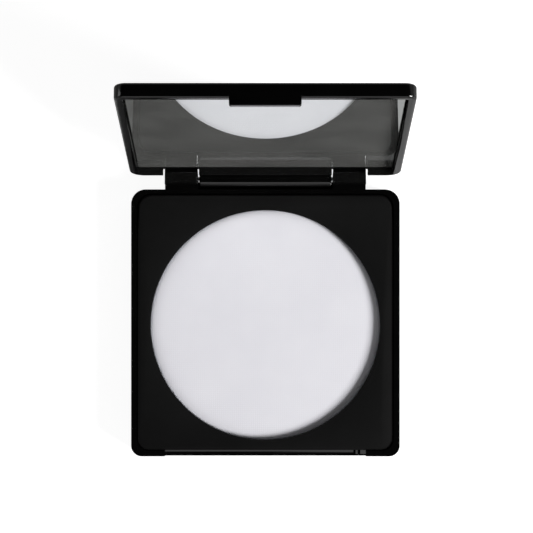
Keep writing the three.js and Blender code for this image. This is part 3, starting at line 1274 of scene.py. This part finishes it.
@dataclass
class FramePanel:
    """The satin panel that frames the pan, with its skirt and pegs."""

    plan: CasePlan
    finish: SatinBlackAbs
    side: float = 33.3
    front: float = -33.1
    rear: float = 33.5
    top: float = 8.4
    thickness: float = 1.2
    front_corner: float = 2.9
    rear_corner: float = 3.7
    edge: float = 0.7  # of the rear edge and the rear corners only
    opening_radius: float = 29.95
    opening_centre: float = -0.55
    opening_round: float = 0.08
    skirt_thickness: float = 1.0
    skirt_lap: float = 0.6
    skirt_gap: float = 0.05  # at each end
    peg_radius: float = 1.1
    peg_length: float = 3.0

    def plate(self) -> Workpiece:
        """Return the plate with its rounded outer edge and its round opening."""
        bottom = self.top - self.thickness
        plate = Workpiece.block(
            "frame_panel", (-self.side, self.front, bottom), (self.side, self.rear, self.top)
        )
        plate.round_corners(self.front_corner, self.rear_corner, 0.0, self.plan.corner_steps)
        corner_start = self.rear - self.rear_corner - NEAR
        plate.bevel(
            lambda a, b: min(a.z, b.z) > self.top - NEAR and min(a.y, b.y) > corner_start,
            self.edge,
            5,
        )
        hole = Workpiece.rod(
            "opening",
            self.opening_radius,
            4 * self.thickness,
            (0.0, self.opening_centre, self.top),
            192,
        )
        return plate.carve(hole)

    def skirt(self) -> Workpiece:
        """Return the strip that closes the front above the ledge."""
        half = self.plan.ledge_half - self.skirt_gap
        return Workpiece.block(
            "skirt",
            (-half, self.front, self.plan.tongue_tip - self.skirt_lap),
            (half, self.front + self.skirt_thickness, self.top - self.edge),
        )

    def pegs(self) -> list[Workpiece]:
        """Return the four locating pegs."""
        high = self.top - self.thickness / 2
        low = high - self.peg_length - self.thickness / 2
        return Workpiece.posts("peg", self.peg_radius, low, high, self.plan.peg_places)

    def build(self) -> bpy.types.Object:
        """Return the finished panel."""
        panel = self.plate().weld(self.skirt(), *self.pegs())
        panel.clean().soften(self.opening_round, 4)
        return panel.place().dress(self.finish.build(), Body.BASE, Slot.PANEL, "base_panel")


@dataclass
class PowderPan:
    """The drawn metal pan and the powder pressed into it."""

    tinplate: DrawnTinplate
    powder: PressedPowder
    radius: float = 30.2
    centre: float = -0.55
    bottom: float = 1.9
    rim: float = 7.0
    wall: float = 0.25
    bend: float = 0.8
    gap: float = 0.05
    powder_side: float = 6.46
    crown: tuple[tuple[float, float], ...] = (
        (0.1, 0.12),
        (0.2, 0.1),
        (0.35, 0.08),
        (0.55, 0.05),
        (0.8, 0.03),
        (1.2, 0.02),
        (3.0, 0.01),
        (7.0, 0.01),
        (9.0, 0.005),
    )  # each ring's step in and up
    steps: int = 192

    def central(self, middle: Vector) -> bool:
        """Say whether a face's middle is on the pan's axis."""
        return math.hypot(middle.x, middle.y - self.centre) < 1.0

    def pan(self) -> bpy.types.Object:
        """Return the pan."""
        height = self.rim - self.bottom
        middle = (0.0, self.centre, self.bottom + height / 2)
        pan = Workpiece.rod("tin_pan", self.radius, height, middle, self.steps)

        def mouth(c: Vector, n: Vector) -> bool:
            return n.z > 0.9 and c.z > self.rim - NEAR and self.central(c)

        pan.step_in(mouth, self.wall, 0.0)
        pan.sink(mouth, height - self.wall)
        pan.round_level(self.bottom, self.bend, 5)
        pan.round_level(self.rim, self.wall / 4, 2)
        return pan.place().dress(self.tinplate.build(), Body.BASE, Slot.TINPLATE, "powder_pan")

    def cake(self) -> bpy.types.Object:
        """Return the powder: a soft edge, and a top that swells slightly to its middle."""
        side = self.radius - self.wall - self.gap
        low = self.bottom + self.wall + self.gap
        middle = (0.0, self.centre, (low + self.powder_side) / 2)
        cake = Workpiece.rod("powder", side, self.powder_side - low, middle, self.steps)
        cake.round_level(low, self.bend, 3)
        for inset, lift in self.crown:
            cake.step_in(lambda c, n: n.z > 0.9 and self.central(c), inset, lift)
        return cake.place().dress(self.powder.build(), Body.BASE, Slot.POWDER, "powder_cake")

    def build(self) -> list[bpy.types.Object]:
        """Return the pan and its powder."""
        return [self.pan(), self.cake()]


# ---- Lid -----------------------------------------------------------------------------


@dataclass
class LidCase:
    """The lid moulding, drawn shut about the hinge axis and then turned open."""

    plan: CasePlan
    finish: GlossBlackAbs
    height: float = 3.6
    edge: float = 0.7
    rim: float = 1.95
    mirror_recess: float = 1.85
    mirror_thickness: float = 0.7
    pocket_extra: float = 0.25
    tongue_half: float = 8.35
    tongue_thickness: float = 1.35
    tongue_corner: float = 0.55
    notch_gap: float = 0.35
    web_overlap: float = 0.75
    web_reach: float = 0.3
    web_step: float = 0.12
    web_drop: float = 1.2  # of its root below the lid's back, in edge radii
    web_crown: float = 0.9  # of its end above the axis, in barrel radii
    barrel_chamfer: float = 0.4
    bore_radius: float = 0.68
    bore_length: float = 5.6
    soft_edge: float = 0.15

    @property
    def low(self) -> float:
        """Height of the rim above the hinge axis when shut."""
        return self.plan.parting_gap / 2

    @property
    def y_shift(self) -> float:
        """From the case's own Y to Y about the hinge."""
        return -self.plan.hinge[1]

    def plate(self) -> Workpiece:
        """Return the rounded plate with the mirror's pocket cut into it."""
        p = self.plan
        dy = self.y_shift
        plate = Workpiece.block(
            "lid_case",
            (-p.half, p.front + dy, self.low),
            (p.half, p.rear + dy, self.low + self.height),
        )
        plate.round_corners(p.front_corner, p.rear_corner, dy, p.corner_steps)
        plate.round_level(self.low, self.edge, 6)
        plate.round_level(self.low + self.height, self.edge, 6)
        depth = self.mirror_recess + self.mirror_thickness + self.pocket_extra
        pocket = Workpiece.block(
            "pocket",
            (-p.half + self.rim, p.front + self.rim + dy, self.low - p.through),
            (p.half - self.rim, p.rear - self.rim + dy, self.low + depth),
        )
        return plate.carve(pocket)

    def notches(self) -> list[Workpiece]:
        """Return the cutters that let the rear wall pass over the ears."""
        p = self.plan
        dy = self.y_shift
        middle = (p.ear_inner + p.ear_outer) / 2
        half = (p.ear_outer - p.ear_inner) / 2 + self.notch_gap
        return [
            Workpiece.block(
                "notch",
                (side * middle - half, p.rear - self.rim - p.through + dy, self.low - p.through),
                (side * middle + half, p.rear + p.through + dy, self.low + self.mirror_recess),
            )
            for side in (-1, 1)
        ]

    def barrel(self) -> list[Workpiece]:
        """Return the hinge barrel and the web that joins it to the rear wall."""
        p = self.plan
        rod = Workpiece.rod(
            "barrel", p.barrel_radius, 2 * p.barrel_half, (0.0, 0.0, 0.0), 48, Axis.X
        )
        rod.bevel(
            lambda a, b: abs(a.x - b.x) < NEAR and abs(a.x) > p.barrel_half - NEAR,
            self.barrel_chamfer,
            3,
        )
        half = p.barrel_half - self.web_step
        top = self.low + self.height - self.web_drop * self.edge
        web = Workpiece.block(
            "web",
            (-half, -p.hinge_setback - self.web_overlap, self.low + self.web_step),
            (half, self.web_reach, top),
        )
        web.push(
            lambda a, b: min(a.z, b.z) > top - NEAR and min(a.y, b.y) > 0,
            (0, 0, p.barrel_radius * self.web_crown - top),
        )
        return [web.weld(rod)]

    def tongue(self) -> Workpiece:
        """Return the latch tongue with its rounded lower corners."""
        p = self.plan
        dy = self.y_shift
        tip = p.tongue_tip - p.hinge[2]
        tongue = Workpiece.block(
            "tongue",
            (-self.tongue_half, p.front + dy, tip),
            (self.tongue_half, p.front + self.tongue_thickness + dy, self.low + self.edge),
        )
        tongue.bevel(
            lambda a, b: abs(a.x - b.x) < NEAR and a.z < tip + NEAR and b.z < tip + NEAR,
            self.tongue_corner,
            5,
        )
        return tongue

    def bores(self) -> list[Workpiece]:
        """Return the cutters for the pins' bores in the barrel's ends."""
        centre = (self.plan.barrel_half, 0.0, 0.0)
        return Workpiece.pair("bore", self.bore_radius, 2 * self.bore_length, centre)

    def build(self) -> bpy.types.Object:
        """Return the finished lid moulding, open."""
        lid = self.plate().carve(*self.notches())
        lid.weld(*self.barrel(), self.tongue()).carve(*self.bores())
        lid.clean().soften(self.soft_edge, 4)
        lid.place(self.plan.hinge, -self.plan.opening_deg)
        return lid.dress(self.finish.build(), Body.LID, Slot.GLOSS, "lid_shell")


@dataclass
class Mirror:
    """The square-cornered glass, with its edges ground."""

    plan: CasePlan
    finish: SilveredGlass
    inset: float = 2.1
    face: float = 2.0
    thickness: float = 0.7
    ground: float = 0.12

    def build(self) -> bpy.types.Object:
        """Return the finished mirror, open."""
        p = self.plan
        dy = -p.hinge[1]
        glass = Workpiece.block(
            "mirror_glass",
            (-p.half + self.inset, p.front + self.inset + dy, self.face),
            (p.half - self.inset, p.rear - self.inset + dy, self.face + self.thickness),
        )
        glass.bevel(lambda a, b: True, self.ground, 1)
        glass.place(p.hinge, -p.opening_deg)
        return glass.dress(self.finish.build(), Body.LID, Slot.MIRROR, "mirror")


# ---- Carried-over CAD nodes ----------------------------------------------------------


@dataclass
class CarriedParts:
    """The small CAD nodes whose shape is already right, and their finishes."""

    nodes: Mapping[str, bpy.types.Object]
    steel: BrightSteel = field(default_factory=BrightSteel)
    tape: CoatedSheet = TISSUE_TAPE
    label: CoatedSheet = MATT_LABEL

    def build(self) -> list[bpy.types.Object]:
        """Dress each node and return them."""
        steel, tape, label = self.steel.build(), self.tape.build(), self.label.build()
        finishes: dict[str, bpy.types.Material] = {
            "hinge_pin_left": steel,
            "hinge_pin_right": steel,
            "pan_adhesive": tape,
            "mirror_tape_left": tape,
            "mirror_tape_right": tape,
            "base_label": label,
        }
        dressed = []
        for name, material in finishes.items():
            node = self.nodes[name]
            if node.material_slots:
                for row in node.material_slots:
                    row.material = material
            else:
                node.data.materials.append(material)
            dressed.append(node)
        return dressed


# ---- Studio --------------------------------------------------------------------------


@dataclass(frozen=True)
class SoftBox:
    """One soft area light, aimed at the object."""

    name: str
    azimuth_deg: float  # from +X towards +Y
    elevation_deg: float
    distance: float
    size: tuple[float, float]
    power: float
    colour: str = "#ffffff"

    def build(self, aim: Vector) -> bpy.types.Object:
        """Add the light.

        Args:
            aim: the point that it faces, in metres.

        Returns:
            The light's object.
        """
        azimuth, elevation = math.radians(self.azimuth_deg), math.radians(self.elevation_deg)
        way = Vector(
            (
                math.cos(elevation) * math.cos(azimuth),
                math.cos(elevation) * math.sin(azimuth),
                math.sin(elevation),
            )
        )
        light = bpy.data.lights.new(self.name, "AREA")
        light.shape = "RECTANGLE"
        light.size, light.size_y = self.size
        light.energy = self.power
        light.color = linear(self.colour)[:3]
        obj = bpy.data.objects.new(self.name, light)
        bpy.context.scene.collection.objects.link(obj)
        obj.location = aim + way * self.distance
        obj.rotation_euler = way.to_track_quat("Z", "Y").to_euler()
        return obj


@dataclass
class Studio:
    """Floor, surroundings, lights and camera."""

    plan: CasePlan
    table: LightTable = field(default_factory=LightTable)
    table_half: float = 3.0
    lights: Sequence[SoftBox] = (
        SoftBox("key_box", -24.0, 31.0, 0.9, (0.34, 0.34), 13.2),
        SoftBox("front_box", -90.0, 30.0, 1.0, (1.0, 0.36), 1.2),
        SoftBox("left_box", 172.0, 28.0, 1.0, (0.6, 0.4), 1.3),
    )
    wall_light: float = 0.3
    wall_top: float = 0.62  # sine of the height where the bright walls end
    wall_fade: float = 0.25  # over which they darken, in the same measure
    camera_at: Point = (0.29, 14.7, 600.8)
    lens: float = 153.4

    def floor(self) -> bpy.types.Object:
        """Return the floor."""
        deselect_all()
        bpy.ops.mesh.primitive_plane_add(size=2 * self.table_half, location=(0, 0, 0))
        floor = bpy.context.object
        floor.name = "light_table"
        with Workpiece(floor, "light_table").editing("FACE"):
            bpy.ops.mesh.select_all(action="SELECT")
            bpy.ops.mesh.subdivide(number_cuts=3)
        floor.data.materials.append(self.table.build())
        return floor

    def surroundings(self) -> None:
        """Pale walls all round, fading to a dark ceiling."""
        world = bpy.data.worlds.new("studio")
        world.use_nodes = True
        tree = world.node_tree
        tree.nodes.clear()
        way = add_node(tree, "ShaderNodeTexCoord").outputs["Generated"]
        height = add_node(tree, "ShaderNodeSeparateXYZ", inputs={"Vector": way}).outputs["Z"]
        walls = add_node(
            tree,
            "ShaderNodeMapRange",
            {"clamp": True, "interpolation_type": "SMOOTHSTEP"},
            {
                "Value": height,
                "From Min": self.wall_top - self.wall_fade,
                "From Max": self.wall_top,
                "To Min": self.wall_light,
                "To Max": 0.0,
            },
        ).outputs["Result"]
        back = add_node(
            tree,
            "ShaderNodeBackground",
            inputs={"Color": WHITE, "Strength": walls},
        )
        add_node(tree, "ShaderNodeOutputWorld", inputs={"Surface": back.outputs["Background"]})
        bpy.context.scene.world = world

    def camera(self) -> bpy.types.Object:
        """Return the camera, looking straight down."""
        data = bpy.data.cameras.new("camera")
        data.lens = self.lens
        data.sensor_width = 36.0
        data.clip_start, data.clip_end = 0.01, 20.0
        camera = bpy.data.objects.new("camera", data)
        bpy.context.scene.collection.objects.link(camera)
        camera.location = [c * MM for c in self.camera_at]
        bpy.context.scene.camera = camera
        return camera

    def build(self) -> None:
        """Set up the whole studio."""
        bpy.context.scene.view_settings.view_transform = "Standard"
        self.camera()
        self.floor()
        self.surroundings()
        aim = Vector((0.0, 0.0, self.plan.base_height * MM))
        for light in self.lights:
            light.build(aim)


def main() -> None:
    """Build the compact around its frame and report each piece."""
    logging.basicConfig(level=logging.INFO, format="%(message)s")
    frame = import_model()
    plan = CasePlan()
    Studio(plan).build()
    pieces: list[bpy.types.Object] = [
        BaseCase(plan, GlossBlackAbs()).build(),
        FramePanel(plan, SatinBlackAbs()).build(),
        *PowderPan(DrawnTinplate(), PressedPowder()).build(),
        LidCase(plan, GlossBlackAbs()).build(),
        Mirror(plan, SilveredGlass()).build(),
        *CarriedParts(frame["nodes"]).build(),
    ]
    LOG.info("pieces: %s", ", ".join(piece.name for piece in pieces))
    deselect_all()


if __name__ == "__main__":
    main()
